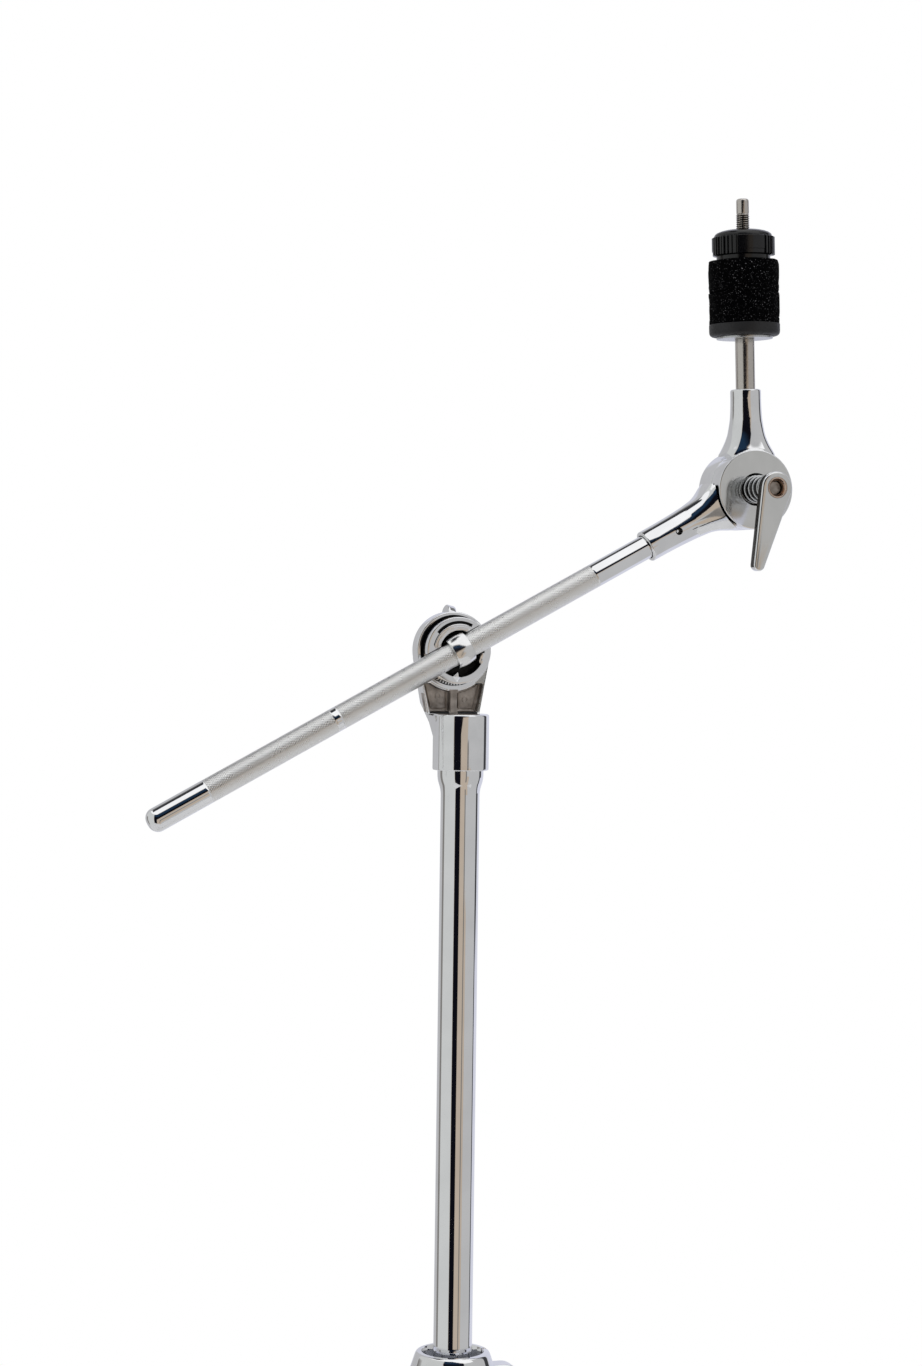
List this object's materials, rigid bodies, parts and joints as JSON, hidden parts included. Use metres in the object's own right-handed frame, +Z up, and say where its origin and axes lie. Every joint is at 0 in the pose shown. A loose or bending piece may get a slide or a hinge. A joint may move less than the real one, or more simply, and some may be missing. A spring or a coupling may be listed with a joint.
{
  "type": "boom stand",
  "caption": "Folding tripod stand with telescopic column, tilting and sliding boom rod, tilter and felted threaded stud.",
  "frame": {"origin": "centre of the floor plug's bottom face, on the floor under the column", "axes": "+Z up along the column; boom rod in a plane parallel to XZ with the tilter on +X; levers towards -Y"},
  "size_m": [0.5292, 0.6112, 1.3081],
  "materials": {
    "chrome": "polished",
    "chrome_cast": "polished casting",
    "chrome_knurled": "knurled",
    "steel_satin": "satin",
    "hardware": "zinc plated",
    "bronze": "turned",
    "brass": "turned",
    "nylon_grey": "moulded",
    "plastic_black": "moulded gloss",
    "plastic_inner": "moulded",
    "rubber_black": "moulded matt",
    "felt_black": "pressed wool felt"
  },
  "bodies": {
    "base": {"base_plug": "rubber_black", "base_tube": "chrome", "base_bracket": "chrome_cast", "bracket_pins": "hardware", "clamp_body": "chrome_cast", "clamp_bolt": "hardware"},
    "strut_1": {"strut_1": "chrome"},
    "leg_1": {"leg_1": "chrome", "foot_1": "rubber_black", "mid_pin_1": "hardware"},
    "collar": {"leg_collar": "chrome_cast", "collar_pins": "hardware"},
    "leg_2": {"leg_2": "chrome", "foot_2": "rubber_black", "mid_pin_2": "hardware"},
    "leg_3": {"leg_3": "chrome", "foot_3": "rubber_black", "mid_pin_3": "hardware"},
    "strut_2": {"strut_2": "chrome"},
    "strut_3": {"strut_3": "chrome"},
    "collar_screw": {"collar_screw": "chrome_cast"},
    "clamp_lever": {"clamp_lever": "chrome_cast"},
    "bush": {"clamp_bush": "nylon_grey"},
    "column": {"upper_tube": "chrome", "tube_plug": "plastic_inner", "boom_holder": "chrome_cast", "holder_pin": "hardware", "clamp_washer": "hardware"},
    "saddle": {"saddle_disc": "chrome_cast", "eye_bolt": "chrome_cast"},
    "wing_nut": {"wing_nut": "chrome_cast"},
    "boom": {"boom_rod": "chrome_knurled", "tilter_socket": "chrome_cast", "socket_pin": "hardware", "tilter_bolt": "hardware"},
    "tilter": {"tilter_post": "chrome_cast", "tilter_spring": "hardware", "stem": "steel_satin", "seat_washer": "hardware", "seat_cup": "rubber_black", "felt_lower": "felt_black", "seat_sleeve": "plastic_inner"},
    "tilter_lever": {"tilter_lever": "chrome_cast", "lever_insert": "bronze", "tilter_washer": "hardware"},
    "felt_upper": {"felt_upper": "felt_black"},
    "top_nut": {"top_nut": "plastic_black", "nut_insert": "brass"}
  },
  "joints": [
    {"name": "tripod_fold", "type": "hinge", "parent": "base", "child": "strut_1", "pos_m": [0.027, 0, 0.04178], "axis": [0, -1, 0], "range_deg": [0, 46]},
    {"name": "leg_1_pivot", "type": "hinge", "parent": "strut_1", "child": "leg_1", "pos_m": [0.16096, 0, 0.14645], "axis": [0, 1, 0], "range_deg": [0, 92]},
    {"name": "collar_pivot_1", "type": "hinge", "parent": "leg_1", "child": "collar", "pos_m": [0.027, 0, 0.25111], "axis": [0, -1, 0], "range_deg": [0, 46]},
    {"name": "collar_pivot_2", "type": "hinge", "parent": "collar", "child": "leg_2", "pos_m": [-0.0135, 0.02338, 0.25111], "axis": [-0.866, -0.5, 0], "range_deg": [0, 46]},
    {"name": "strut_2_pivot", "type": "hinge", "parent": "leg_2", "child": "strut_2", "pos_m": [-0.08048, 0.1394, 0.14645], "axis": [0.866, 0.5, 0], "range_deg": [0, 92]},
    {"name": "collar_pivot_3", "type": "hinge", "parent": "collar", "child": "leg_3", "pos_m": [-0.0135, -0.02338, 0.25111], "axis": [0.866, -0.5, 0], "range_deg": [0, 46]},
    {"name": "strut_3_pivot", "type": "hinge", "parent": "leg_3", "child": "strut_3", "pos_m": [-0.08048, -0.1394, 0.14645], "axis": [-0.866, 0.5, 0], "range_deg": [0, 92]},
    {"name": "collar_screw_turn", "type": "hinge", "parent": "collar", "child": "collar_screw", "pos_m": [0.00715, 0.01238, 0.25111], "axis": [0.5, 0.866, 0], "range_deg": [-180, 180]},
    {"name": "clamp_lever_turn", "type": "hinge", "parent": "base", "child": "clamp_lever", "pos_m": [0.033, -0.02, 0.619], "axis": [0, -1, 0], "range_deg": [-30, 110]},
    {"name": "column_swivel", "type": "hinge", "parent": "base", "child": "bush", "pos_m": [0, 0, 0.64], "axis": [0, 0, 1], "range_deg": [-180, 180]},
    {"name": "column_height", "type": "slide", "parent": "bush", "child": "column", "axis": [0, 0, 1], "range_m": [-0.32, 0.08]},
    {"name": "boom_tilt", "type": "hinge", "parent": "column", "child": "saddle", "pos_m": [0, 0.004, 1.041], "axis": [0, -1, 0], "range_deg": [-80, 26]},
    {"name": "wing_nut_turn", "type": "hinge", "parent": "saddle", "child": "wing_nut", "pos_m": [0, 0.004, 1.041], "axis": [0, 1, 0], "range_deg": [-180, 180]},
    {"name": "boom_slide", "type": "slide", "parent": "saddle", "child": "boom", "axis": [0.8788, 0, 0.4772], "range_m": [-0.105, 0.165]},
    {"name": "tilter_tilt", "type": "hinge", "parent": "boom", "child": "tilter", "pos_m": [0.17708, 0.004, 1.13715], "axis": [0, -1, 0], "range_deg": [-100, 45]},
    {"name": "tilter_lever_turn", "type": "hinge", "parent": "boom", "child": "tilter_lever", "pos_m": [0.17708, 0.004, 1.13715], "axis": [0, -1, 0], "range_deg": [-180, 180]},
    {"name": "nut_lift", "type": "slide", "parent": "tilter", "child": "felt_upper", "axis": [-0.0349, 0, 0.9994], "range_m": [0, 0.00375]},
    {"name": "nut_turn", "type": "hinge", "parent": "felt_upper", "child": "top_nut", "pos_m": [0.17238, 0.004, 1.27187], "axis": [-0.0349, 0, 0.9994], "range_deg": [0, 1081]}
  ],
  "couplings": [
    {"joint": "leg_1_pivot", "follows": "tripod_fold", "ratio": 2},
    {"joint": "collar_pivot_1", "follows": "tripod_fold", "ratio": 1},
    {"joint": "collar_pivot_2", "follows": "tripod_fold", "ratio": 1},
    {"joint": "strut_2_pivot", "follows": "tripod_fold", "ratio": 2},
    {"joint": "collar_pivot_3", "follows": "tripod_fold", "ratio": 1},
    {"joint": "strut_3_pivot", "follows": "tripod_fold", "ratio": 2},
    {"joint": "nut_turn", "follows": "nut_lift", "rad_per_m": 5026.5}
  ]
}
